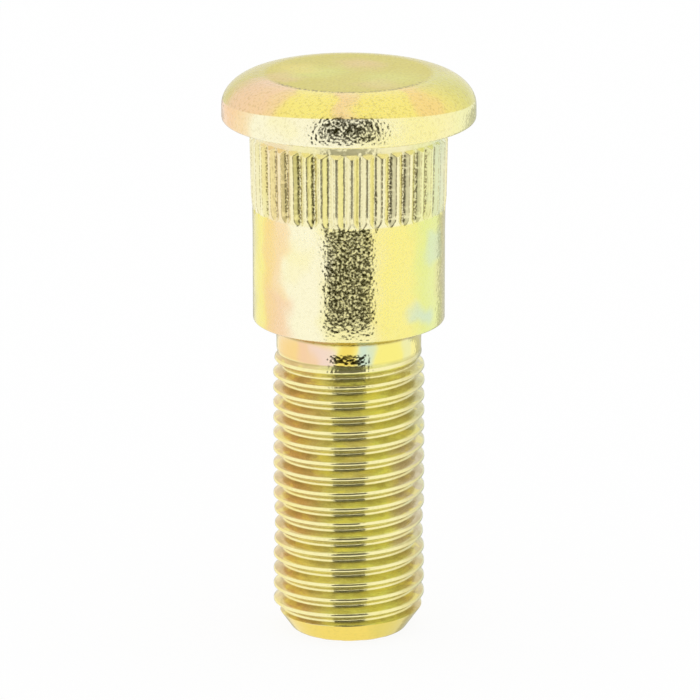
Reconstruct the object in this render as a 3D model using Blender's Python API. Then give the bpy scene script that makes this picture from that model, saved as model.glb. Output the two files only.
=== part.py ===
"""Wheel stud, one steel forging, in metres with +Z up.

It stands on its thread end. The origin is the middle of the end face, and the head is at the top.
From the top down: a low round head, a short collar, a band of straight serrations, a plain shank, a
neck, a rolled right-hand thread and a plain pointed lead.
"""

import math

import bmesh
import bpy

MM = 0.001

# Lengths along the axis
LENGTH = 45.3 * MM
HEAD_HEIGHT = 3.7 * MM
SHANK_LENGTH = 16.2 * MM
NECK_LENGTH = 2.1 * MM
LEAD_LENGTH = 2.1 * MM

# Diameters
HEAD_DIAMETER = 20.0 * MM
SHANK_DIAMETER = 15.15 * MM
NECK_DIAMETER = 11.45 * MM
THREAD_DIAMETER = 12.0 * MM
LEAD_DIAMETER = 9.0 * MM

# Roundings
HEAD_CROWN_WIDTH = 3.6 * MM
HEAD_CROWN_DROP = 2.5 * MM
HEAD_LOWER_ROUND = 0.35 * MM
HEAD_FILLET = 0.3 * MM
SHANK_LOWER_ROUND = 0.25 * MM

# Serrated band, under a short plain collar
SERRATION_COUNT = 39
BAND_LENGTH = 6.95 * MM
BAND_DIAMETER = 15.4 * MM
COLLAR_LENGTH = 0.8 * MM
SERRATION_DEPTH = 0.32 * MM
SERRATION_RUN_OUT = 0.55 * MM
SERRATION_CAP = 0.45 * MM
SERRATION_CAP_DROP = 0.14 * MM
LAND_SHARE_OF_TOOTH = 0.46
FLOOR_SHARE_OF_TOOTH = 0.30

# Right-hand thread, 60 degrees between its flanks
PITCH = 1.25 * MM
THREAD_DEPTH_IN_PITCHES = 0.6134
CREST_LAND_IN_PITCHES = 0.125
FLANK_ANGLE = math.radians(30.0)
RUN_OUT_IN_PITCHES = 1.5
CREST_ABOVE_END = 0.41 * MM

# Facets
HEAD_SIDES = 64
THREAD_SIDES = 32
LEAD_SIDES = 48
CROWN_STEPS = 7
SMALL_ROUND_STEPS = 2
SHARP_ANGLE = math.radians(32.0)
MERGE_DISTANCE = 0.001 * MM
CUTTER_MARGIN = 1.0 * MM

# Heights worked out from the lengths
HEAD_UNDERSIDE = LENGTH - HEAD_HEIGHT
BAND_BOTTOM = HEAD_UNDERSIDE - BAND_LENGTH
COLLAR_BOTTOM = HEAD_UNDERSIDE - COLLAR_LENGTH
SHANK_BOTTOM = HEAD_UNDERSIDE - SHANK_LENGTH
THREAD_TOP = SHANK_BOTTOM - NECK_LENGTH
TOOTH_ANGLE = math.tau / SERRATION_COUNT

STEEL_COLOUR = (0.80, 0.66, 0.27, 1.0)
STEEL_ROUGHNESS = 0.32


def clear_scene():
    for item in list(bpy.data.objects):
        bpy.data.objects.remove(item)


def plated_steel():
    material = bpy.data.materials.new("plated_steel")
    material.use_nodes = True
    shader = material.node_tree.nodes["Principled BSDF"]
    shader.inputs["Base Color"].default_value = STEEL_COLOUR
    shader.inputs["Metallic"].default_value = 1.0
    shader.inputs["Roughness"].default_value = STEEL_ROUGHNESS
    return material


def closed_ring(bm, corners, height):
    """A ring of edges through corners given as (angle, radius)."""
    verts = [
        bm.verts.new((radius * math.cos(angle), radius * math.sin(angle), height))
        for angle, radius in corners
    ]
    return [bm.edges.new(pair) for pair in zip(verts, verts[1:] + verts[:1])]


def fill_step(bm, inner, outer):
    """The flat ring between two rims at one height. Returns the outer rim."""
    bmesh.ops.triangle_fill(bm, edges=inner + outer, use_beauty=True, use_dissolve=False)
    return outer


def raise_rim(bm, rim, height, land, floor=None):
    """A wall from the open rim up to a new rim, where a floor radius cuts the serrations' grooves."""
    made = bmesh.ops.extrude_edge_only(bm, edges=rim)["geom"]
    for vert in [item for item in made if isinstance(item, bmesh.types.BMVert)]:
        angle = math.atan2(vert.co.y, vert.co.x)
        radius = floor if floor and is_in_groove(angle) else land
        vert.co = (radius * math.cos(angle), radius * math.sin(angle), height)
    return [item for item in made if isinstance(item, bmesh.types.BMEdge)]


def quarter_round(radius, height, width, drop, steps, start_angle):
    """A quarter turn upwards on an ellipse whose widest point is (radius, height)."""
    for step in range(steps + 1):
        angle = start_angle + math.pi / 2 * step / steps
        yield radius - width + width * math.cos(angle), height + drop * math.sin(angle)


def lower_edge(radius, height, rounding):
    """The rounded lower edge of a collar that starts at the given height."""
    start = -math.pi / 2
    return list(quarter_round(radius, height + rounding, rounding, rounding, SMALL_ROUND_STEPS, start))


def serration_angles():
    """Four angles to each serration: the two edges of its land between the edges of two floors."""
    for number in range(SERRATION_COUNT):
        for share in (FLOOR_SHARE_OF_TOOTH - 1.0, -LAND_SHARE_OF_TOOTH, LAND_SHARE_OF_TOOTH):
            yield TOOTH_ANGLE * (number + share / 2)
        yield TOOTH_ANGLE * (number + (1.0 - FLOOR_SHARE_OF_TOOTH) / 2)


def is_in_groove(angle):
    """Whether a corner at this angle is past the middle of a flank, so that it is on a floor."""
    share = abs((angle / TOOTH_ANGLE + 0.5) % 1.0 - 0.5) * 2
    return share > (LAND_SHARE_OF_TOOTH + 1.0 - FLOOR_SHARE_OF_TOOTH) / 2


def add_thread(bm):
    """The threaded length, closed at its lower end. Returns its open rim at the neck.

    The thread's zigzag outline makes one full turn while it rises by one pitch, so its end meets
    its start one tooth further up, where the doubles are merged. The run-out fades to the neck.
    """
    crest = THREAD_DIAMETER / 2
    depth = THREAD_DEPTH_IN_PITCHES * PITCH
    land = CREST_LAND_IN_PITCHES * PITCH / 2
    foot = land + depth * math.tan(FLANK_ANGLE)
    tooth = ((crest - depth, -foot), (crest, -land), (crest, land), (crest - depth, foot))

    outline = []
    for number in range(-2, math.ceil(THREAD_TOP / PITCH) + 2):
        middle = CREST_ABOVE_END + number * PITCH
        outline += [bm.verts.new((radius, 0.0, middle + offset)) for radius, offset in tooth]
    edges = [bm.edges.new(pair) for pair in zip(outline, outline[1:])]
    bmesh.ops.spin(
        bm,
        geom=outline + edges,
        cent=(0.0, 0.0, 0.0),
        axis=(0.0, 0.0, 1.0),
        dvec=(0.0, 0.0, PITCH / THREAD_SIDES),
        angle=math.tau,
        steps=THREAD_SIDES,
    )
    bmesh.ops.remove_doubles(bm, verts=bm.verts[:], dist=MERGE_DISTANCE)

    run_out = RUN_OUT_IN_PITCHES * PITCH
    for vert in bm.verts:
        radius = vert.co.xy.length
        fade = min(max((vert.co.z - THREAD_TOP) / run_out + 1.0, 0.0), 1.0)
        vert.co.xy *= (radius + (NECK_DIAMETER / 2 - radius) * fade) / radius

    for height in (0.0, THREAD_TOP):
        bmesh.ops.bisect_plane(
            bm,
            geom=bm.verts[:] + bm.edges[:] + bm.faces[:],
            dist=MERGE_DISTANCE,
            plane_co=(0.0, 0.0, height),
            plane_no=(0.0, 0.0, 1.0),
            clear_inner=height == 0.0,
            clear_outer=height == THREAD_TOP,
        )
    lowest = [edge for edge in bm.edges if edge.is_boundary and edge.verts[0].co.z < PITCH]
    bmesh.ops.contextual_create(bm, geom=lowest)
    return [edge for edge in bm.edges if edge.is_boundary]


def add_neck_and_shank(bm, rim):
    rim = raise_rim(bm, rim, SHANK_BOTTOM, NECK_DIAMETER / 2)
    (inner, height), *outline = lower_edge(SHANK_DIAMETER / 2, SHANK_BOTTOM, SHANK_LOWER_ROUND)
    step = closed_ring(bm, [(angle, inner) for angle in serration_angles()], height)
    rim = fill_step(bm, rim, step)
    for radius, height in outline + [(SHANK_DIAMETER / 2, BAND_BOTTOM)]:
        rim = raise_rim(bm, rim, height, radius)
    return rim


def add_serrated_band(bm, rim):
    """Straight ridges that run out into the shank and have bevelled tops under the collar."""
    land = BAND_DIAMETER / 2
    floor = land - SERRATION_DEPTH
    rim = raise_rim(bm, rim, BAND_BOTTOM + SERRATION_RUN_OUT, land, floor)
    rim = raise_rim(bm, rim, COLLAR_BOTTOM - SERRATION_CAP, land, floor)
    rim = raise_rim(bm, rim, COLLAR_BOTTOM, land - SERRATION_CAP_DROP, floor)
    rim = raise_rim(bm, rim, COLLAR_BOTTOM, land)
    rim = raise_rim(bm, rim, HEAD_UNDERSIDE - HEAD_FILLET, land)
    return raise_rim(bm, rim, HEAD_UNDERSIDE, land + HEAD_FILLET)


def add_head(bm, rim):
    radius = HEAD_DIAMETER / 2
    (inner, height), *outline = lower_edge(radius, HEAD_UNDERSIDE, HEAD_LOWER_ROUND)
    crown = LENGTH - HEAD_CROWN_DROP
    outline += quarter_round(radius, crown, HEAD_CROWN_WIDTH, HEAD_CROWN_DROP, CROWN_STEPS, 0.0)
    sides = [(math.tau * side / HEAD_SIDES, inner) for side in range(HEAD_SIDES)]
    rim = fill_step(bm, rim, closed_ring(bm, sides, height))
    for ring_radius, height in outline:
        rim = raise_rim(bm, rim, height, ring_radius)
    bmesh.ops.contextual_create(bm, geom=rim)


def add_object(name, bm, material=None):
    bmesh.ops.recalc_face_normals(bm, faces=bm.faces[:])
    mesh = bpy.data.meshes.new(name)
    bm.to_mesh(mesh)
    bm.free()
    if material:
        mesh.materials.append(material)
    mesh.shade_smooth()
    mesh.set_sharp_from_angle(angle=SHARP_ANGLE)
    item = bpy.data.objects.new(name, mesh)
    bpy.context.collection.objects.link(item)
    return item


def make_lead_cutter():
    """A ring whose inner face is the lead's cone, drawn past both ends of the cone."""
    slope = (THREAD_DIAMETER - LEAD_DIAMETER) / 2 / LEAD_LENGTH
    bottom = -CUTTER_MARGIN
    top = LEAD_LENGTH + CUTTER_MARGIN
    outer = THREAD_DIAMETER / 2 + slope * CUTTER_MARGIN + CUTTER_MARGIN
    section = (
        (LEAD_DIAMETER / 2 + slope * bottom, bottom),
        (outer, bottom),
        (outer, top),
        (LEAD_DIAMETER / 2 + slope * top, top),
    )
    bm = bmesh.new()
    corners = [bm.verts.new((radius, 0.0, height)) for radius, height in section]
    edges = [bm.edges.new(pair) for pair in zip(corners, corners[1:] + corners[:1])]
    bmesh.ops.spin(
        bm,
        geom=corners + edges,
        cent=(0.0, 0.0, 0.0),
        axis=(0.0, 0.0, 1.0),
        angle=math.tau,
        steps=LEAD_SIDES,
        use_merge=True,
    )
    cutter = add_object("lead_cutter", bm)
    cutter.display_type = "WIRE"
    cutter.hide_render = True
    return cutter


def make_wheel_stud():
    bm = bmesh.new()
    rim = add_thread(bm)
    rim = add_neck_and_shank(bm, rim)
    rim = add_serrated_band(bm, rim)
    add_head(bm, rim)
    stud = add_object("wheel_stud", bm, plated_steel())
    lead = stud.modifiers.new("lead", "BOOLEAN")
    lead.operation = "DIFFERENCE"
    lead.object = make_lead_cutter()


def main():
    clear_scene()
    make_wheel_stud()


main()
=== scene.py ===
"""Looks of a yellow-plated wheel stud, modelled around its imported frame.

Everything is in metres with +Z up. The stud stands on its thread end, the origin is the middle of the
end face, and the photograph's side of it faces -Y. From the top down it has a low round head, a short
collar, a band of straight serrations, a grit-blasted shank, a smooth neck, a rolled right-hand thread
and a plain pointed lead.
"""

import math
import random

import bmesh
import bpy
from mathutils import Euler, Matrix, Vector, noise


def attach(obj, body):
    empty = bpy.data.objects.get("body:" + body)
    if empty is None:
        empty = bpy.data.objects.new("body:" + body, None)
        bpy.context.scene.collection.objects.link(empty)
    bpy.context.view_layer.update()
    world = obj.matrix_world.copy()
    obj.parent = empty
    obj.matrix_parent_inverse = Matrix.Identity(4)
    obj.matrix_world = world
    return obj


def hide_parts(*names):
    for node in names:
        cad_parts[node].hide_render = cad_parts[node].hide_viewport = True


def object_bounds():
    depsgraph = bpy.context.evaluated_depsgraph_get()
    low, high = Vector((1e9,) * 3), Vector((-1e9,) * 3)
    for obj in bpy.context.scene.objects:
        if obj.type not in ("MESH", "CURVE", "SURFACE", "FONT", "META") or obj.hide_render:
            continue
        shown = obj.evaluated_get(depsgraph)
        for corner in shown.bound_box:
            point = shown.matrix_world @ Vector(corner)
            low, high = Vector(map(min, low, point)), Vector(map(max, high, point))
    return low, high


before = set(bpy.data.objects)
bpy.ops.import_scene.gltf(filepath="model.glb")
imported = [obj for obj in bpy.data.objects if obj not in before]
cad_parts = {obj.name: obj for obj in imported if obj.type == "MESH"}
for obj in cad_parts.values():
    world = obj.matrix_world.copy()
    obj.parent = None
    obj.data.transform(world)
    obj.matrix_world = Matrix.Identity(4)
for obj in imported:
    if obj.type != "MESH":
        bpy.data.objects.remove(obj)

bl_info = {
    "name": "Yellow-plated wheel stud",
    "version": (1, 0, 0),
    "blender": (4, 5, 0),
    "location": "3D View > Sidebar > Wheel stud",
    "description": "Builds a wheel stud with serrations, thread and chromate finish, and its pale studio",
    "category": "Add Mesh",
}

CAD_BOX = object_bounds()
CAD_SIZE = CAD_BOX[1] - CAD_BOX[0]
MM = 0.001
SEED = 12

# Facets of the finished mesh
COLUMNS_OF_TOOTH = 16
CROWN_STEPS = 16
SMALL_ROUND_STEPS = 4
NECK_FILLET_STEPS = 8
THREAD_SIDES = 112
ROWS_OF_PITCH = 16
SHARP_ANGLE = math.radians(50.0)
MERGE_DISTANCE = 0.002 * MM

# Numbers that the mesh keeps at each vertex for the plating, and for its painted light and shade
LAYERS = ("thread_depth", "groove", "pressed")

# How unlike each other a worn die leaves the valleys
END_SPREAD = 0.12 * MM
DEPTH_SPREAD = (0.85, 1.1)
VALLEY_SHARPNESS = 1.15
RISE_AT_END = 1.3
RIDGE_RAMP = 1.6
FULL_SIDE = 0.1 * MM
SLOW_WANDER = 1.3 * MM
QUICK_WANDER = 0.35 * MM
QUICK_SHARE = 0.6

# Where the crests of the thread are worn, and how much
WORN_OFF = 0.1 * MM
WORN_BOTTOM = (6.5 * MM, 8.0 * MM)
WORN_TOP = (9.4 * MM, 10.6 * MM)

# Sizes of the grain in the film and in the metal
PATCH_SIZE = 6.0 * MM
UNEVEN_SIZE = 1.2 * MM
STREAK_SIZE = 0.6 * MM
PEBBLE_SIZE = 0.3 * MM
GRAIN_SIZE = 0.22 * MM
THICK_FILM_SIZE = 0.2 * MM
FLECK_SIZE = 0.16 * MM
ROLLED_SIZE = 0.13 * MM
RELIEF_DEPTH = 0.0135 * MM

# How the film's patches end, as shares of their width, and how far their edges wander
FILM_CORE = 0.2
FILM_REACH = 1.5
FILM_SOFTNESS = 0.5 * MM
WOBBLE_SIZE = 2.4 * MM
WOBBLE_REACH = 2.6 * MM
SHARP_EDGE = 0.05 * MM
SOFT_EDGE = 0.1 * MM
PAST_ENDS = 9.0 * MM

# The crown's gold ends this far under the flat top, where the front card's reflection on the head side
# begins; below that edge the pale tint of the head side is partly a painted highlight. That edge drops to
# both sides, per metre
SIDE_FILM_DROP = 1.35 * MM
SIDE_FILM_CURVE = 6.4

# Cards round the stud, with their azimuths from +X counter-clockwise and elevations in degrees
CARDS = (
    ("front_card", "dark_card", (242.0, 298.0), (-21.5, 62.0)),
    ("left_card", "grey_card", (92.0, 108.0), (-40.0, -8.0)),
    ("right_card", "grey_card", (45.0, 88.0), (-40.0, -8.0)),
)
CARD_SQUARES = 16
FLOOR_HALF_WIDTH = 1500.0 * MM
FRAME_PIXELS = 700


def length(name, description, default):
    return bpy.props.FloatProperty(
        name=name, description=description, default=default, min=0.0, precision=5, unit="LENGTH"
    )


def colour(name, description, default):
    return bpy.props.FloatVectorProperty(
        name=name, description=description, default=default, size=3, min=0.0, max=1.0, subtype="COLOR"
    )


class StudSizes(bpy.types.PropertyGroup):
    """Sizes of the forging. Its overall length and the head's diameter come from the frame."""

    length: length("Length", "From the end face to the flat top", CAD_SIZE.z)
    head_diameter: length("Head diameter", "Across the head's side", CAD_SIZE.x)
    head_height: length("Head height", "From the head's underside to its flat top", 3.7 * MM)
    crown_width: length("Crown width", "Width of the rounded top edge", 3.6 * MM)
    crown_drop: length("Crown drop", "Height of the rounded top edge", 2.5 * MM)
    head_lower_round: length("Head lower round", "Rounding of the head's lower edge", 0.35 * MM)
    head_fillet: length("Head fillet", "Fillet between the collar and the head", 0.5 * MM)
    shank_length: length("Shank length", "From the head's underside to the neck", 16.2 * MM)
    shank_diameter: length("Shank diameter", "Across the plain shank", 15.15 * MM)
    shank_lower_round: length("Shank lower round", "Rounding of the shank's lower edge", 0.25 * MM)
    neck_length: length("Neck length", "From the shank to the thread", 2.1 * MM)
    neck_diameter: length("Neck diameter", "Across the neck", 11.45 * MM)
    neck_fillet: length("Neck fillet", "Fillet between the neck and the shank", 1.5 * MM)


class SerrationSizes(bpy.types.PropertyGroup):
    """Sizes of the serrated band under the head, a row of rounded ridges and valleys."""

    count: bpy.props.IntProperty(
        name="Serrations", description="Number of straight ridges", default=39, min=3
    )
    turn: bpy.props.FloatProperty(
        name="Turn",
        description="Angle from +X to a ridge",
        default=math.radians(-88.2),
        subtype="ANGLE",
    )
    band_length: length("Band length", "From the head's underside to the grooves' ends", 6.95 * MM)
    lower_diameter: length("Lower diameter", "Across the ridges above their lower ends", 15.4 * MM)
    upper_diameter: length("Upper diameter", "Across the ridges under the collar", 15.6 * MM)
    swell: length("Swell", "How much the shank's radius grows below the band", 0.03 * MM)
    swell_length: length("Swell length", "Where the shank widens under the band", 2.0 * MM)
    collar_length: length("Collar length", "Plain length right under the head", 1.06 * MM)
    depth: length("Groove depth", "From a ridge's top to a valley's floor", 0.33 * MM)
    run_out: length("Groove run-out", "Length over which a valley ends", 0.5 * MM)
    cap_height: length("Cap height", "Height of the bevel at a ridge's upper end", 0.34 * MM)
    cap_drop: length("Cap drop", "How far that bevel falls", 0.3 * MM)
    waviness: length("Waviness", "How far the ridges wander sideways", 0.03 * MM)


class ThreadSizes(bpy.types.PropertyGroup):
    """Sizes of the rolled right-hand thread and its plain lead."""

    diameter: length("Thread diameter", "Across the crests", 12.0 * MM)
    pitch: length("Pitch", "From one crest to the next", 1.25 * MM)
    depth: length("Thread depth", "From crest to root", 0.767 * MM)
    flank_angle: bpy.props.FloatProperty(
        name="Flank angle",
        description="Angle of a worn flank from the plane across the axis",
        default=math.radians(28.0),
        subtype="ANGLE",
    )
    crest_land: length("Crest land", "Width of the crest before rounding", 0.2 * MM)
    rounding: length("Thread rounding", "Softness of crests and roots", 0.045 * MM)
    crest_height: length("Crest height", "Height of a crest at +X", 0.42 * MM)
    run_out: length("Thread run-out", "Length over which the thread fades into the neck", 1.875 * MM)
    lead_length: length("Lead length", "Height of the plain cone", 2.1 * MM)
    lead_diameter: length("Lead diameter", "Across the end face", 9.0 * MM)
    lead_round: length("Lead rounding", "Rounding of the end face's edge", 0.2 * MM)


class PlatingColours(bpy.types.PropertyGroup):
    """Tints of the yellow chromate, from thin film to thick. Some of them also carry painted highlights and
    painted shade, noted at each tint.
    """

    # Cream is the walls' paler film and also a painted highlight, the pale sheen of the bright surroundings
    # on them
    pale_film_and_highlight: colour("Cream", "Pale film on the walls", (0.985, 0.935, 0.65))
    straw: colour("Straw", "Yellow film", (0.955, 0.86, 0.22))
    gold: colour("Gold", "Deep yellow film on the crown", (0.93, 0.755, 0.21))
    amber: colour("Amber", "Deep yellow film on the lead", (0.925, 0.715, 0.14))
    olive: colour("Olive", "Green-yellow film on the flat top", (0.69, 0.61, 0.12))
    orange: colour("Orange", "Orange film", (0.95, 0.62, 0.27))
    rose: colour("Rose", "Pink film", (0.92, 0.60, 0.42))
    # Lilac is a violet film, and on the neck it is a painted highlight low on the front left
    lilac_film_and_highlight: colour("Lilac", "Violet film", (0.90, 0.72, 0.70))
    sky: colour("Sky", "Blue film", (0.62, 0.78, 0.66))
    leaf: colour("Leaf", "Green film", (0.78, 0.86, 0.27))
    bronze: colour("Bronze", "Thread flanks", (0.80, 0.72, 0.36))
    copper: colour("Copper", "Thread flanks with an orange film", (0.76, 0.54, 0.24))
    moss: colour("Moss", "Thread flanks with a green film", (0.80, 0.78, 0.26))
    sage: colour("Sage", "Grey-green film on the thread's right side", (0.66, 0.70, 0.42))
    # Soot is the dark of the pits on the crown's rim, and painted shade on the valley floors of the
    # serrations
    pit_and_valley_shade: colour("Soot", "Dark film in the valleys", (0.17, 0.125, 0.035))
    taupe: colour("Taupe", "Thread flanks with a grey-pink film", (0.74, 0.64, 0.47))
    # Umber also paints shade towards the thread's roots and a shadow under the shank
    umber: colour("Umber", "Specks in the film", (0.42, 0.32, 0.09))


class StageSettings(bpy.types.PropertyGroup):
    """The camera of the photograph and its pale studio."""

    distance: length("Camera distance", "From the camera to the point it looks at", 540.0 * MM)
    target_height: length("Target height", "Height of the point that it looks at", 22.78 * MM)
    elevation: bpy.props.FloatProperty(
        name="Elevation",
        description="Angle of the camera above the horizon",
        default=math.radians(15.8),
        subtype="ANGLE",
    )
    focal_pixels: bpy.props.FloatProperty(
        name="Focal length in pixels",
        description="Focal length in pixels of a frame 700 pixels wide",
        default=6825.0,
        subtype="PIXEL",
    )
    axis_offset_pixels: bpy.props.FloatProperty(
        name="Axis offset",
        description="How far the stud's axis lies left of the frame's middle",
        default=1.15,
        subtype="PIXEL",
    )
    card_distance: length("Card distance", "From the target to the cards", 4000.0 * MM)
    dark: colour("Dark card", "Card in front, whose reflection runs down the metal", (0.02, 0.018, 0.005))
    grey: colour("Grey cards", "Low cards behind, on both sides", (0.62, 0.62, 0.58))


def quarter_round(radius, height, width, drop, steps, start_angle):
    """Points of a quarter turn upwards on an ellipse whose widest point is (radius, height)."""
    for step in range(steps + 1):
        angle = start_angle + math.pi / 2 * step / steps
        yield radius - width + width * math.cos(angle), height + drop * math.sin(angle)


def rising(radius_from, height_from, radius_to, height_to, rows):
    """Points of a straight rise, without its first one."""
    for row in range(1, rows + 1):
        part = row / rows
        yield radius_from + (radius_to - radius_from) * part, height_from + (height_to - height_from) * part


def smooth_step(value, low, high):
    part = min(max((value - low) / (high - low), 0.0), 1.0)
    return part * part * (3.0 - 2.0 * part)


def body_outline(stud, band):
    """Half outline of the shank, band, collar and head, from the flat step at the neck to the axis."""
    underside = stud.length - stud.head_height
    shank_bottom = underside - stud.shank_length
    band_bottom = underside - band.band_length
    shank = stud.shank_diameter / 2
    ridge = band.lower_diameter / 2
    collar = band.upper_diameter / 2
    head = stud.head_diameter / 2
    crown = stud.length - stud.crown_drop
    edge = stud.shank_lower_round

    points = list(quarter_round(shank, shank_bottom + edge, edge, edge, SMALL_ROUND_STEPS, -math.pi / 2))
    points += rising(shank, shank_bottom + edge, shank, band_bottom - band.swell_length, rows=4)
    swollen = shank + band.swell
    points += rising(shank, band_bottom - band.swell_length, swollen, band_bottom, rows=10)
    ramp_top = band_bottom + RIDGE_RAMP * band.run_out
    points += rising(swollen, band_bottom, ridge, ramp_top, rows=10)
    cap_top = underside - band.collar_length
    cap_bottom = cap_top - band.cap_height
    points += rising(ridge, ramp_top, collar, cap_bottom, rows=20)
    points += rising(collar, cap_bottom, collar - band.cap_drop, cap_top, rows=6)
    collar -= band.cap_drop
    fillet = stud.head_fillet
    points += rising(collar, cap_top, collar, underside - fillet, rows=2)
    points += [
        (collar + fillet - fillet * math.cos(turn), underside - fillet + fillet * math.sin(turn))
        for turn in (math.pi / 12, math.pi / 6, math.pi / 3, math.pi / 2)
    ]
    edge = stud.head_lower_round
    points += quarter_round(head, underside + edge, edge, edge, SMALL_ROUND_STEPS, -math.pi / 2)
    points += quarter_round(head, crown, stud.crown_width, stud.crown_drop, CROWN_STEPS, 0.0)
    points += rising(head - stud.crown_width, stud.length, 0.0, stud.length, rows=4)
    return points


def spin_outline(bm, outline, steps, rise=0.0):
    """A half outline turned once round the axis, and raised by that much where it is a helix."""
    corners = [bm.verts.new((radius, 0.0, height)) for radius, height in outline]
    edges = [bm.edges.new(pair) for pair in zip(corners, corners[1:])]
    bmesh.ops.spin(
        bm,
        geom=corners + edges,
        cent=(0.0, 0.0, 0.0),
        axis=(0.0, 0.0, 1.0),
        dvec=(0.0, 0.0, rise / steps),
        angle=math.tau,
        steps=steps,
        use_merge=rise == 0.0,
    )
    bmesh.ops.remove_doubles(bm, verts=bm.verts[:], dist=MERGE_DISTANCE)


def press_serrations(bm, stud, band, groove, pressed_layer):
    """Presses the valleys between the ridges, each a little unlike the others, as a worn die does."""
    underside = stud.length - stud.head_height
    bottom = underside - band.band_length
    cap_top = underside - band.collar_length
    tooth = math.tau / band.count
    column_angle = tooth / COLUMNS_OF_TOOTH
    ridge = band.lower_diameter / 2
    draw = random.Random(SEED)
    ends = [draw.uniform(-END_SPREAD, END_SPREAD) for _ in range(band.count)]
    depths = [draw.uniform(*DEPTH_SPREAD) * band.depth for _ in range(band.count)]

    for vert in bm.verts:
        radius = vert.co.xy.length
        if radius < MM:
            continue
        height = vert.co.z
        index = round((math.atan2(vert.co.y, vert.co.x) % math.tau) / column_angle)
        number, column = divmod(index, COLUMNS_OF_TOOTH)
        number %= band.count
        place = column / COLUMNS_OF_TOOTH
        if bottom - MM < height < cap_top - MERGE_DISTANCE:
            fall = ((1.0 - math.cos(math.tau * place)) / 2) ** VALLEY_SHARPNESS
            end = bottom + ends[number]
            lift = smooth_step(height, end + band.run_out, end - band.run_out) * band.depth * RISE_AT_END
            above = max((height - cap_top) / band.cap_height + 1.0, 0.0)
            pressed = max(depths[number] * fall - lift - band.cap_drop * above, 0.0)
            radius -= pressed
            side = math.sin(math.tau * place)
            vert[groove] = side * min(pressed / FULL_SIDE, 1.0)
            vert[pressed_layer] = pressed / band.depth
            slow = noise.noise(Vector((height / SLOW_WANDER, number * 7.3, 1.7)))
            quick = noise.noise(Vector((height / QUICK_WANDER, number * 3.1, 4.4 if side > 0 else 6.2)))
            place += (slow + QUICK_SHARE * quick) * band.waviness / (tooth * ridge)
        angle = tooth * (number + place) + band.turn
        vert.co.xy = (radius * math.cos(angle), radius * math.sin(angle))


def thread_outline(stud, thread):
    """Half outline of the thread, a row of rounded teeth that runs past both ends of the thread."""
    crest = thread.diameter / 2
    soft = thread.rounding
    top = stud.length - stud.head_height - stud.shank_length - stud.neck_length
    rows = math.ceil((top / thread.pitch + 4) * ROWS_OF_PITCH)
    for row in range(rows):
        height = thread.crest_height + (row / ROWS_OF_PITCH - 2) * thread.pitch
        from_crest = abs((row / ROWS_OF_PITCH + 0.5) % 1.0 - 0.5) * thread.pitch
        fall = (from_crest - thread.crest_land / 2) / math.tan(thread.flank_angle)
        fall = (fall + math.hypot(fall, soft)) / 2
        rest = thread.depth - fall
        fall = thread.depth - (rest + math.hypot(rest, soft)) / 2
        yield crest - fall, height


def add_thread(bm, stud, thread, depth_layer):
    """The threaded length and its lead, closed at the end face. Returns its open rim at the neck."""
    top = stud.length - stud.head_height - stud.shank_length - stud.neck_length
    neck = stud.neck_diameter / 2
    spin_outline(bm, thread_outline(stud, thread), THREAD_SIDES, rise=thread.pitch)
    slope = (thread.diameter - thread.lead_diameter) / 2 / thread.lead_length
    for vert in bm.verts:
        radius = vert.co.xy.length
        height = vert.co.z
        vert[depth_layer] = (thread.diameter / 2 - radius) / thread.depth
        worn = WORN_OFF * smooth_step(height, *WORN_BOTTOM) * (1.0 - smooth_step(height, *WORN_TOP))
        worn *= 1.0 - min(vert[depth_layer] * 2.0, 1.0)
        target = radius - worn
        fade = smooth_step(height, top - thread.run_out, top)
        target += (neck - target) * fade
        lead = thread.lead_diameter / 2 + slope * max(height, 0.0)
        under = max(thread.lead_round - height, 0.0)
        lead -= thread.lead_round - math.sqrt(max(thread.lead_round**2 - under**2, 0.0))
        if lead < target:
            target = lead
            vert[depth_layer] = 0.0
        vert.co.xy *= target / radius
    for height in (0.0, top):
        bmesh.ops.bisect_plane(
            bm,
            geom=bm.verts[:] + bm.edges[:] + bm.faces[:],
            dist=MERGE_DISTANCE,
            plane_co=(0.0, 0.0, height),
            plane_no=(0.0, 0.0, 1.0),
            clear_inner=height == 0.0,
            clear_outer=height == top,
        )
    lowest = [edge for edge in bm.edges if edge.is_boundary and edge.verts[0].co.z < thread.pitch]
    bmesh.ops.contextual_create(bm, geom=lowest)
    return [edge for edge in bm.edges if edge.is_boundary]


def raise_rim(bm, rim, radius, height):
    """A round wall from the open rim up to a new rim. Returns the new rim."""
    made = bmesh.ops.extrude_edge_only(bm, edges=rim)["geom"]
    for vert in [item for item in made if isinstance(item, bmesh.types.BMVert)]:
        vert.co.xy *= radius / vert.co.xy.length
        vert.co.z = height
    return [item for item in made if isinstance(item, bmesh.types.BMEdge)]


def add_neck(bm, rim, stud):
    """The neck and its fillet under the shank, open at the top."""
    neck = stud.neck_diameter / 2
    top = stud.length - stud.head_height - stud.shank_length
    fillet = stud.neck_fillet
    rim = raise_rim(bm, rim, neck, top - fillet)
    for step in range(1, NECK_FILLET_STEPS + 1):
        turn = math.pi / 2 * step / NECK_FILLET_STEPS
        radius = neck + fillet - fillet * math.cos(turn)
        rim = raise_rim(bm, rim, radius, top - fillet + fillet * math.sin(turn))


def add_piece(name, bm, material, node):
    """The finished mesh as an object that rides on the root body in place of a node."""
    bmesh.ops.recalc_face_normals(bm, faces=bm.faces[:])
    bmesh.ops.triangulate(bm, faces=[face for face in bm.faces if len(face.verts) > 4])
    mesh = bpy.data.meshes.new(name)
    bm.to_mesh(mesh)
    bm.free()
    mesh.materials.append(material)
    mesh.shade_smooth()
    mesh.set_sharp_from_angle(angle=SHARP_ANGLE)
    piece = bpy.data.objects.new(name, mesh)
    bpy.context.scene.collection.objects.link(piece)
    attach(piece, "root")
    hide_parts(node)
    return piece


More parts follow.
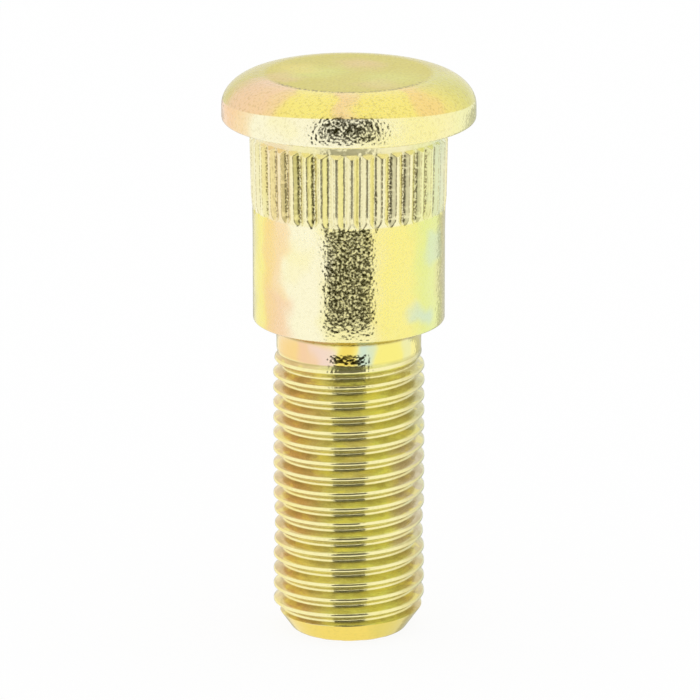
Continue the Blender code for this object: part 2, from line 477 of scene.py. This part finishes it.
class Number:
    """A number in a shader. An expression on it adds the Math nodes that work it out."""

    def __init__(self, shader, socket):
        self.shader = shader
        self.socket = socket

    def math(self, operation, *others):
        values = dict(enumerate((self, *others)))
        node = self.shader.node("ShaderNodeMath", {"operation": operation}, values)
        return Number(self.shader, node.outputs[0])

    def __add__(self, other):
        return self.math("ADD", other)

    def __radd__(self, other):
        return self.math("ADD", other)

    def __sub__(self, other):
        return self.math("SUBTRACT", other)

    def __rsub__(self, other):
        return self.shader.number(other).math("SUBTRACT", self)

    def __mul__(self, other):
        return self.math("MULTIPLY", other)

    def __rmul__(self, other):
        return self.math("MULTIPLY", other)

    def __truediv__(self, other):
        return self.math("DIVIDE", other)

    def __pow__(self, other):
        return self.math("POWER", other)

    def step(self, low, high):
        """A smooth rise from 0 at low to 1 at high, or a fall where low is the higher."""
        flip = low > high
        bounds = (high, low) if flip else (low, high)
        node = self.shader.node(
            "ShaderNodeMapRange",
            {"interpolation_type": "SMOOTHSTEP"},
            {"Value": self, "From Min": bounds[0], "From Max": bounds[1]},
        )
        rise = Number(self.shader, node.outputs["Result"])
        return 1.0 - rise if flip else rise

    def between(self, low, high, soft):
        """1 from low to high, falling softly to 0 on both sides."""
        return self.step(low - soft, low + soft) * self.step(high + soft, high - soft)


class Shader:
    """Adds nodes to one node tree."""

    def __init__(self, tree):
        self.tree = tree
        tree.nodes.clear()

    def node(self, kind, settings=None, values=None):
        """A node of that kind. Its settings are set first, and then its sockets' values or links."""
        node = self.tree.nodes.new(kind)
        for name, value in (settings or {}).items():
            setattr(node, name, value)
        for name, value in (values or {}).items():
            socket = node.inputs[name]
            if isinstance(value, Number):
                value = value.socket
            if isinstance(value, bpy.types.NodeSocket):
                self.tree.links.new(value, socket)
            else:
                socket.default_value = value
        return node

    def number(self, value):
        node = self.node("ShaderNodeValue")
        node.outputs[0].default_value = value
        return Number(self, node.outputs[0])

    def mix(self, factor, first, second, blend="MIX"):
        """A colour mixed from two colours, given as sockets or as three numbers."""
        node = self.node("ShaderNodeMix", {"data_type": "RGBA", "blend_type": blend})
        for index, value in ((0, factor), (6, first), (7, second)):
            socket = node.inputs[index]
            if isinstance(value, Number):
                value = value.socket
            if isinstance(value, bpy.types.NodeSocket):
                self.tree.links.new(value, socket)
            else:
                socket.default_value = (*value, 1.0) if index else value
        return node.outputs[2]

    def vector(self, operation, *values, scale=None):
        """The vector that a Vector Math node works out."""
        sockets = dict(enumerate(values))
        if scale is not None:
            sockets["Scale"] = scale
        return self.node("ShaderNodeVectorMath", {"operation": operation}, sockets).outputs[0]

    def split(self, vector):
        """The vector's x, y and z as numbers."""
        parts = self.node("ShaderNodeSeparateXYZ", None, {"Vector": vector}).outputs
        return [Number(self, socket) for socket in parts]

    def attribute(self, name):
        """The number that the mesh keeps under that name."""
        node = self.node("ShaderNodeAttribute", {"attribute_name": name})
        return Number(self, node.outputs["Fac"])

    def noise(self, place, size, detail):
        """Noise whose grains measure about size, in metres. Its numbers lie round 0.5."""
        node = self.node(
            "ShaderNodeTexNoise",
            {"noise_dimensions": "3D"},
            {"Vector": place, "Scale": 1.0 / size, "Detail": detail},
        )
        return Number(self, node.outputs["Fac"])


class Surface:
    """The stud's surface. Its parts are numbers that are 1 on a part and fall to 0 past its edge."""

    def __init__(self, shader, stud, band, thread):
        self.place = shader.node("ShaderNodeTexCoord").outputs["Object"]
        x, y, z = shader.split(self.place)
        self.z = z
        self.radius = (x * x + y * y).math("SQRT")

        wobble = shader.node(
            "ShaderNodeTexNoise", None, {"Vector": self.place, "Scale": 1.0 / WOBBLE_SIZE, "Detail": 1.5}
        )
        off_centre = shader.vector("SUBTRACT", wobble.outputs["Color"], (0.5, 0.5, 0.5))
        moved = shader.vector("SCALE", off_centre, scale=WOBBLE_REACH)
        self.wavy_x, self.wavy_y, self.wavy_z = shader.split(shader.vector("ADD", self.place, moved))
        self.wavy_radius = (self.wavy_x * self.wavy_x + self.wavy_y * self.wavy_y).math("SQRT")

        self.underside = stud.length - stud.head_height
        self.shank_bottom = self.underside - stud.shank_length
        self.band_bottom = self.underside - band.band_length
        self.thread_top = self.shank_bottom - stud.neck_length
        self.below, self.above = -PAST_ENDS, stud.length + PAST_ENDS
        self.flat_edge = stud.head_diameter / 2 - stud.crown_width
        side_top = stud.length - SIDE_FILM_DROP

        self.valley_side = shader.attribute("groove")
        self.pressed = shader.attribute("pressed")
        self.depth = shader.attribute("thread_depth")

        self.head = z.step(self.underside - SHARP_EDGE, self.underside + SHARP_EDGE)
        self.crown = (z + x * x * SIDE_FILM_CURVE).step(side_top - SHARP_EDGE, side_top + SHARP_EDGE)
        self.flat = self.radius.step(self.flat_edge + 0.5 * MM, self.flat_edge - 0.2 * MM) * self.crown
        self.rounding = self.crown * (1.0 - self.flat)
        self.behind = y.step(-6.5 * MM, -1.5 * MM) * self.crown
        self.in_front = y.step(-2.0 * MM, -4.0 * MM)
        self.facing_front = (self.wavy_y / self.wavy_radius).step(-0.93, -0.99)
        self.band = z.between(self.band_bottom, self.underside, SOFT_EDGE)
        self.collar = z.between(self.underside - band.collar_length, self.underside, SOFT_EDGE)
        self.shank = z.between(self.shank_bottom, self.band_bottom, SOFT_EDGE)
        self.neck = z.between(self.thread_top - 0.3 * MM, self.shank_bottom, SOFT_EDGE)
        self.thread = z.step(self.thread_top, self.thread_top - 0.5 * MM)
        self.run_out = z.step(self.thread_top - 2.6 * MM, self.thread_top - 1.6 * MM)
        self.flank = self.depth.between(0.1, 0.93, 0.05) * self.thread
        lead_top = thread.lead_length
        self.lead = z.step(lead_top, lead_top - 0.3 * MM) * self.depth.step(0.12, 0.04)

        self.patches = shader.noise(self.place, PATCH_SIZE, 3.0)
        flat_place = shader.vector("MULTIPLY", self.place, (0.2, 0.2, 1.0))
        self.rolled = shader.noise(flat_place, ROLLED_SIZE, 2.0)

    def film(self, azimuth, half_width, bottom, top):
        """1 in the middle of a patch of the wall, given by its azimuth in degrees and its heights."""
        turn = math.radians(azimuth)
        toward = (self.wavy_x * math.cos(turn) + self.wavy_y * math.sin(turn)) / self.wavy_radius
        near = math.cos(math.radians(FILM_CORE * half_width))
        far = math.cos(math.radians(FILM_REACH * half_width))
        return toward.step(far, near) * self.wavy_z.between(bottom, top, FILM_SOFTNESS)


def first_tone(shader, tints, on):
    """The film's main tint on each part, with painted light on the serrations' walls and a painted
    highlight in the pale wall tint.
    """
    # The pale base tint of the walls is partly a painted highlight
    tone = shader.mix(on.patches.step(0.5, 0.7) * 0.3, tints.pale_film_and_highlight, tints.straw)
    # Painted light: the valley walls on one side of each ridge take more straw, those on the other keep
    # more of the pale painted highlight
    tone = shader.mix(on.band * (on.valley_side.step(0.1, 0.5) * 0.5 + 0.2), tone, tints.straw)
    tone = shader.mix(on.neck * 0.8, tone, tints.straw)
    tone = shader.mix(on.thread * 0.45, tone, tints.straw)
    tone = shader.mix(on.crown, tone, tints.gold)
    tone = shader.mix(on.behind, tone, tints.olive)
    tone = shader.mix(on.flat, tone, tints.olive)
    tone = shader.mix(on.behind * (1.0 - on.flat) * 0.2, tone, tints.umber)
    tone = shader.mix(on.flank, tone, tints.bronze)
    return shader.mix(on.lead, tone, tints.amber)


def add_wall_films(shader, tints, on, tone):
    """Patches of other tints round the walls. The back, out of the photograph, has calm ones."""
    low, high = on.below, on.above
    shank_bottom, band_bottom = on.shank_bottom, on.band_bottom
    head_side = on.head * (1.0 - on.crown)
    # Part, tint, azimuth and half width in degrees, lower and upper height, strength
    films = (
        (head_side, tints.rose, 192, 16, low, high, 0.9),
        (head_side, tints.orange, 205, 14, low, high, 0.65),
        (head_side, tints.straw, 310, 24, low, high, 0.45),
        (head_side, tints.olive, 354, 14, low, high, 0.5),
        (head_side, tints.leaf, 345, 18, low, high, 0.3),
        (on.rounding, tints.rose, 209, 14, low, high, 0.75),
        (on.rounding, tints.rose, 228, 7, low, high, 0.55),
        (on.rounding, tints.straw, 250, 11, low, high, 0.6),
        (on.rounding, tints.rose, 268, 5, low, high, 0.5),
        (on.rounding, tints.straw, 291, 18, low, high, 0.55),
        (on.rounding, tints.orange, 312, 6, low, high, 0.5),
        (on.rounding, tints.leaf, 345, 22, low, high, 0.3),
        (on.shank, tints.olive, 189, 13, low, high, 0.8),
        (on.shank, tints.straw, 206, 12, low, high, 0.9),
        (on.shank, tints.orange, 219, 10, low, high, 0.6),
        (on.shank, tints.rose, 223, 10, low, shank_bottom + 3.5 * MM, 0.4),
        (on.shank, tints.straw, 270, 14, low, high, 0.5),
        (on.shank, tints.orange, 291, 6, low, high, 0.2),
        (on.shank, tints.straw, 303, 18, low, high, 0.85),
        (on.shank, tints.leaf, 328, 13, low, high, 0.8),
        (on.shank, tints.olive, 350, 12, low, high, 0.4),
        (on.shank, tints.sky, 319, 9, shank_bottom + 1.2 * MM, shank_bottom + 2.4 * MM, 0.65),
        (on.shank, tints.sky, 333, 9, band_bottom - 3.5 * MM, band_bottom - MM, 0.45),
        (on.band, tints.pale_film_and_highlight, 192, 14, low, high, 0.8),
        (on.band, tints.rose, 222, 10, low, high, 0.3),
        (on.band, tints.leaf, 325, 14, low, high, 0.35),
        (on.band, tints.sky, 340, 9, low, high, 0.4),
        (on.neck, tints.orange, 214, 24, low, high, 0.75),
        (on.neck, tints.rose, 240, 11, low, high, 0.75),
        # Painted highlight: a pale violet patch low on the neck's front left
        (on.neck, tints.lilac_film_and_highlight, 250, 7, low, shank_bottom - 0.9 * MM, 0.6),
        (on.neck, tints.amber, 268, 9, low, high, 0.95),
        (on.neck, tints.sky, 286, 5, low, high, 0.85),
        (on.neck, tints.straw, 303, 12, low, high, 0.9),
        (on.neck, tints.sky, 322, 6, low, high, 0.25),
        (on.thread, tints.gold, 190, 20, low, high, 0.6),
        (on.thread, tints.umber, 347, 28, low, high, 0.36),
        (on.thread, tints.sage, 352, 18, low, high, 0.62),
        (on.flank * on.patches.step(0.3, 0.5), tints.copper, 203, 34, low, high, 0.95),
        (on.flank, tints.straw, 230, 14, 4.0 * MM, 9.0 * MM, 0.4),
        (on.flank, tints.moss, 290, 38, low, high, 0.9),
        (on.flank, tints.bronze, 275, 12, 13.0 * MM, 19.0 * MM, 0.6),
        (on.flank, tints.taupe, 334, 22, 8.0 * MM, 16.0 * MM, 0.85),
        (on.flank, tints.copper, 345, 16, low, 7.0 * MM, 0.5),
        (on.flank, tints.umber, 335, 22, low, high, 0.2),
        (on.lead, tints.olive, 318, 24, low, high, 0.5),
    )
    for part, tint, azimuth, half_width, bottom, top, strength in films:
        tone = shader.mix(part * on.film(azimuth, half_width, bottom, top) * strength, tone, tint)
    return tone


def add_top_films(shader, tints, on, tone):
    """Round patches of other tints on the flat top."""
    # Tint, place in x and y and size in millimetres, strength
    films = (
        (tints.rose, 0.8, 2.9, 1.9, 0.35),
        (tints.rose, -5.2, -1.5, 1.7, 0.35),
        (tints.leaf, -2.6, 0.2, 2.4, 0.35),
        (tints.gold, -4.2, 1.6, 1.8, 0.4),
        (tints.leaf, 3.4, -1.8, 2.6, 0.3),
        (tints.rose, 2.2, -4.0, 1.6, 0.2),
    )
    for tint, across, along, size, strength in films:
        off_x, off_y = on.wavy_x - across * MM, on.wavy_y - along * MM
        away = (off_x * off_x + off_y * off_y).math("SQRT")
        patch = away.step(1.5 * size * MM, 0.3 * size * MM) * on.flat * strength
        tone = shader.mix(patch, tone, tint)
    return tone


def add_specks(shader, tints, on, tone):
    """Streaks on the flanks, specks and pits in the film, and painted shade towards the thread's roots,
    under the shank and on the valleys' floors.
    """
    # Painted shade: the thread's flanks darken towards their roots
    tone = shader.mix(on.flank * on.depth.step(0.5, 0.85) * 0.3, tone, tints.umber)
    tone = shader.mix(on.flank * on.rolled.step(0.5, 0.7) * 0.18, tone, tints.umber)
    streak = shader.noise(shader.vector("MULTIPLY", on.place, (0.3, 0.3, 1.0)), STREAK_SIZE, 2.0)
    tone = shader.mix(on.flank * streak.step(0.5, 0.62) * 0.3, tone, tints.umber)
    tone = shader.mix(on.flank * streak.step(0.46, 0.36) * 0.5, tone, tints.straw)
    # Painted shadow: a dark band round the top of the neck, just under the shank's lower edge
    painted_shadow_under_shank = on.neck * on.z.step(on.shank_bottom - 0.8 * MM, on.shank_bottom - 0.5 * MM)
    tone = shader.mix(painted_shadow_under_shank * 0.75, tone, tints.umber)

    grain = shader.noise(on.place, GRAIN_SIZE, 2.0)
    speckle = grain.step(0.5, 0.34) * (0.08 + on.head * 0.08 + on.crown * 0.14 - on.neck * 0.07)
    tone = shader.mix(speckle * (1.0 - on.flank), tone, tints.umber)
    rim = on.radius.between(on.flat_edge - 0.15 * MM, on.flat_edge + 0.25 * MM, 0.12 * MM)
    pits = rim * grain.step(0.56, 0.46) * on.in_front * on.crown
    tone = shader.mix(pits * 0.6, tone, tints.pit_and_valley_shade)

    flecks = shader.noise(on.place, FLECK_SIZE, 1.0)
    # Painted shade: the valley floors of the serrations darken, less where they face the front card, whose
    # reflection darkens them there
    valley = on.band * on.pressed.step(0.6, 0.86) * (1.0 - on.facing_front * 0.7)
    tone = shader.mix(valley * (0.18 + 0.62 * flecks.step(0.56, 0.44)), tone, tints.pit_and_valley_shade)
    outline = on.band * on.pressed.between(0.06, 0.16, 0.05) * flecks.step(0.62, 0.42)
    return shader.mix(outline * 0.65, tone, tints.umber)


def relief(shader, on):
    """Height of the blasted grain, of the rolled lines on the thread and of the soft unevenness."""
    blasted = on.shank + on.head * (1.8 - on.crown * 0.6 - on.flat * 0.6)
    blasted = blasted + on.run_out * (on.thread + on.neck) * 1.1
    blasted = blasted + on.band * (1.1 - on.facing_front * 0.7) + on.collar
    cells = shader.node(
        "ShaderNodeTexVoronoi",
        {"feature": "SMOOTH_F1"},
        {"Vector": on.place, "Scale": 1.0 / PEBBLE_SIZE, "Smoothness": 0.35},
    )
    cell_distance = Number(shader, cells.outputs["Distance"])
    pebbles = shader.noise(on.place, PEBBLE_SIZE, 1.0) * 0.6 - cell_distance * 1.2
    crest = (1.0 - on.flank) * on.thread
    uneven = shader.noise(on.place, UNEVEN_SIZE, 3.0)
    return pebbles * (blasted + crest * 0.35) + on.rolled * on.thread * 0.5 + uneven * 0.4


def plated_steel(tints, stud, band, thread):
    """Yellow chromate over zinc: a thin clear film whose tint changes with its thickness."""
    material = bpy.data.materials.new("plated_steel")
    material.use_nodes = True
    shader = Shader(material.node_tree)
    on = Surface(shader, stud, band, thread)

    tone = first_tone(shader, tints, on)
    tone = add_wall_films(shader, tints, on, tone)
    tone = add_top_films(shader, tints, on, tone)
    tone = add_specks(shader, tints, on, tone)

    bump = shader.node(
        "ShaderNodeBump", None, {"Strength": 1.0, "Distance": RELIEF_DEPTH, "Height": relief(shader, on)}
    )
    rough = 0.12 + (on.patches - 0.5) * 0.1 + on.flat * 0.2 + on.crown * 0.06
    rough = rough + on.flank * 0.1 + on.band * 0.06

    # Where the film is thick the metal shines less, which shows as light flecks in a dark reflection
    thick = ((shader.noise(on.place, THICK_FILM_SIZE, 1.0) * 2.0) ** 6.6).math("MINIMUM", 5.5)
    facet = on.band * on.pressed.between(0.12, 0.62, 0.1) + on.collar * 0.6
    metallic = 1.0 - on.band * 0.2 - facet * 0.52 - on.shank * thick * 0.14
    metallic = metallic - on.head * thick * 0.17 - on.thread * 0.17

    principled = shader.node(
        "ShaderNodeBsdfPrincipled",
        None,
        {"Base Color": tone, "Roughness": rough, "Normal": bump.outputs["Normal"], "Metallic": metallic},
    )
    shader.node("ShaderNodeOutputMaterial", None, {"Surface": principled.outputs[0]})
    return material


def plain_material(name, tint):
    """An even colour for a card, which only reflections in the metal show."""
    material = bpy.data.materials.new(name)
    material.use_nodes = True
    shader = Shader(material.node_tree)
    glow = shader.node("ShaderNodeEmission", None, {"Color": (*tint, 1.0), "Strength": 1.0})
    shader.node("ShaderNodeOutputMaterial", None, {"Surface": glow.outputs[0]})
    return material


def floor_material():
    """White paper. The camera sees most of it at the background's white, and a faint shadow stays."""
    material = bpy.data.materials.new("white_paper")
    material.use_nodes = True
    shader = Shader(material.node_tree)
    paper = shader.node("ShaderNodeBsdfDiffuse", None, {"Color": (0.97, 0.97, 0.97, 1.0)})
    glow = shader.node("ShaderNodeEmission", None, {"Color": (1.0, 1.0, 1.0, 1.0), "Strength": 1.0})
    seen = Number(shader, shader.node("ShaderNodeLightPath").outputs["Is Camera Ray"])
    whiteness = seen * 0.9
    both = shader.node("ShaderNodeMixShader", None, {0: whiteness, 1: paper.outputs[0], 2: glow.outputs[0]})
    shader.node("ShaderNodeOutputMaterial", None, {"Surface": both.outputs[0]})
    return material


def add_card(name, azimuth, elevation, material, centre, distance):
    """A card on a large sphere round the stud, which only reflections in the metal show."""
    bm = bmesh.new()
    bmesh.ops.create_grid(bm, x_segments=CARD_SQUARES, y_segments=CARD_SQUARES, size=1.0)
    for vert in bm.verts:
        turn = math.radians(azimuth[0] + (azimuth[1] - azimuth[0]) * (vert.co.x + 1) / 2)
        rise = math.radians(elevation[0] + (elevation[1] - elevation[0]) * (vert.co.y + 1) / 2)
        out = Vector((math.cos(turn) * math.cos(rise), math.sin(turn) * math.cos(rise), math.sin(rise)))
        vert.co = out * distance + centre
    mesh = bpy.data.meshes.new(name)
    bm.to_mesh(mesh)
    bm.free()
    mesh.materials.append(material)
    card = bpy.data.objects.new(name, mesh)
    bpy.context.scene.collection.objects.link(card)
    card.visible_camera = False
    card.visible_diffuse = False
    card.visible_shadow = False
    return card


def new_bmesh():
    """An empty bmesh with all its layers, made first because a new layer can move the others."""
    bm = bmesh.new()
    for name in LAYERS:
        bm.verts.layers.float.new(name)
    return bm


class STUD_OT_forging(bpy.types.Operator):
    """Build the whole stud: head, serrated band, shank, neck, thread and lead in one piece"""

    bl_idname = "wheel_stud.forging"
    bl_label = "Forged stud"

    def execute(self, context):
        scene = context.scene
        stud, band, thread = scene.stud_sizes, scene.serration_sizes, scene.thread_sizes
        bm = new_bmesh()
        rim = add_thread(bm, stud, thread, bm.verts.layers.float["thread_depth"])
        add_neck(bm, rim, stud)

        body = new_bmesh()
        spin_outline(body, body_outline(stud, band), band.count * COLUMNS_OF_TOOTH)
        layers = body.verts.layers.float
        press_serrations(body, stud, band, layers["groove"], layers["pressed"])
        upper = bpy.data.meshes.new("upper")
        body.to_mesh(upper)
        body.free()
        bm.from_mesh(upper)
        bpy.data.meshes.remove(upper)
        open_rims = [edge for edge in bm.edges if edge.is_boundary]
        bmesh.ops.triangle_fill(bm, edges=open_rims, use_beauty=True, use_dissolve=False)

        material = plated_steel(scene.plating_colours, stud, band, thread)
        add_piece("forged_stud", bm, material, "wheel_stud")
        return {"FINISHED"}


class STUD_OT_studio(bpy.types.Operator):
    """Set up the pale floor, the soft white light, the dark front card and the camera"""

    bl_idname = "wheel_stud.studio"
    bl_label = "Studio"

    def execute(self, context):
        scene = context.scene
        stage = scene.stage_settings

        bm = bmesh.new()
        bmesh.ops.create_grid(bm, x_segments=1, y_segments=1, size=FLOOR_HALF_WIDTH)
        mesh = bpy.data.meshes.new("floor")
        bm.to_mesh(mesh)
        bm.free()
        mesh.materials.append(floor_material())
        floor = bpy.data.objects.new("floor", mesh)
        scene.collection.objects.link(floor)
        floor.visible_glossy = False

        target = Vector((0.0, 0.0, stage.target_height))
        tints = {"dark_card": stage.dark, "grey_card": stage.grey}
        materials = {name: plain_material(name, tint) for name, tint in tints.items()}
        for name, material, azimuth, elevation in CARDS:
            add_card(name, azimuth, elevation, materials[material], target, stage.card_distance)

        world = bpy.data.worlds.new("studio")
        scene.world = world
        world.use_nodes = True
        shader = Shader(world.node_tree)
        sky = shader.node("ShaderNodeBackground", None, {"Color": (1.0, 1.0, 1.0, 1.0), "Strength": 1.0})
        shader.node("ShaderNodeOutputWorld", None, {"Surface": sky.outputs[0]})

        data = bpy.data.cameras.new("camera")
        camera = bpy.data.objects.new("camera", data)
        scene.collection.objects.link(camera)
        back = Vector((0.0, -math.cos(stage.elevation), math.sin(stage.elevation)))
        camera.location = target + back * stage.distance
        camera.rotation_euler = Euler((math.pi / 2 - stage.elevation, 0.0, 0.0))
        data.lens = data.sensor_width * stage.focal_pixels / FRAME_PIXELS
        data.shift_x = stage.axis_offset_pixels / FRAME_PIXELS
        data.clip_start = 10.0 * MM
        data.clip_end = 10.0
        scene.camera = camera
        scene.view_settings.view_transform = "Standard"
        return {"FINISHED"}


class STUD_PT_panel(bpy.types.Panel):
    bl_idname = "STUD_PT_panel"
    bl_label = "Wheel stud"
    bl_space_type = "VIEW_3D"
    bl_region_type = "UI"
    bl_category = "Wheel stud"

    def draw(self, context):
        for operator in OPERATORS:
            self.layout.operator(operator.bl_idname)
        for name in SETTINGS:
            box = self.layout.box()
            group = getattr(context.scene, name)
            for key in group.bl_rna.properties.keys():
                if key not in {"name", "rna_type"}:
                    box.prop(group, key)


OPERATORS = (STUD_OT_forging, STUD_OT_studio)
SETTINGS = {
    "stud_sizes": StudSizes,
    "serration_sizes": SerrationSizes,
    "thread_sizes": ThreadSizes,
    "plating_colours": PlatingColours,
    "stage_settings": StageSettings,
}


def register():
    for item in (*SETTINGS.values(), *OPERATORS, STUD_PT_panel):
        bpy.utils.register_class(item)
    for name, group in SETTINGS.items():
        setattr(bpy.types.Scene, name, bpy.props.PointerProperty(type=group))


def unregister():
    for name in SETTINGS:
        delattr(bpy.types.Scene, name)
    for item in reversed((*SETTINGS.values(), *OPERATORS, STUD_PT_panel)):
        bpy.utils.unregister_class(item)


def main():
    register()
    bpy.ops.wheel_stud.forging()
    bpy.ops.wheel_stud.studio()


if __name__ == "__main__":
    main()
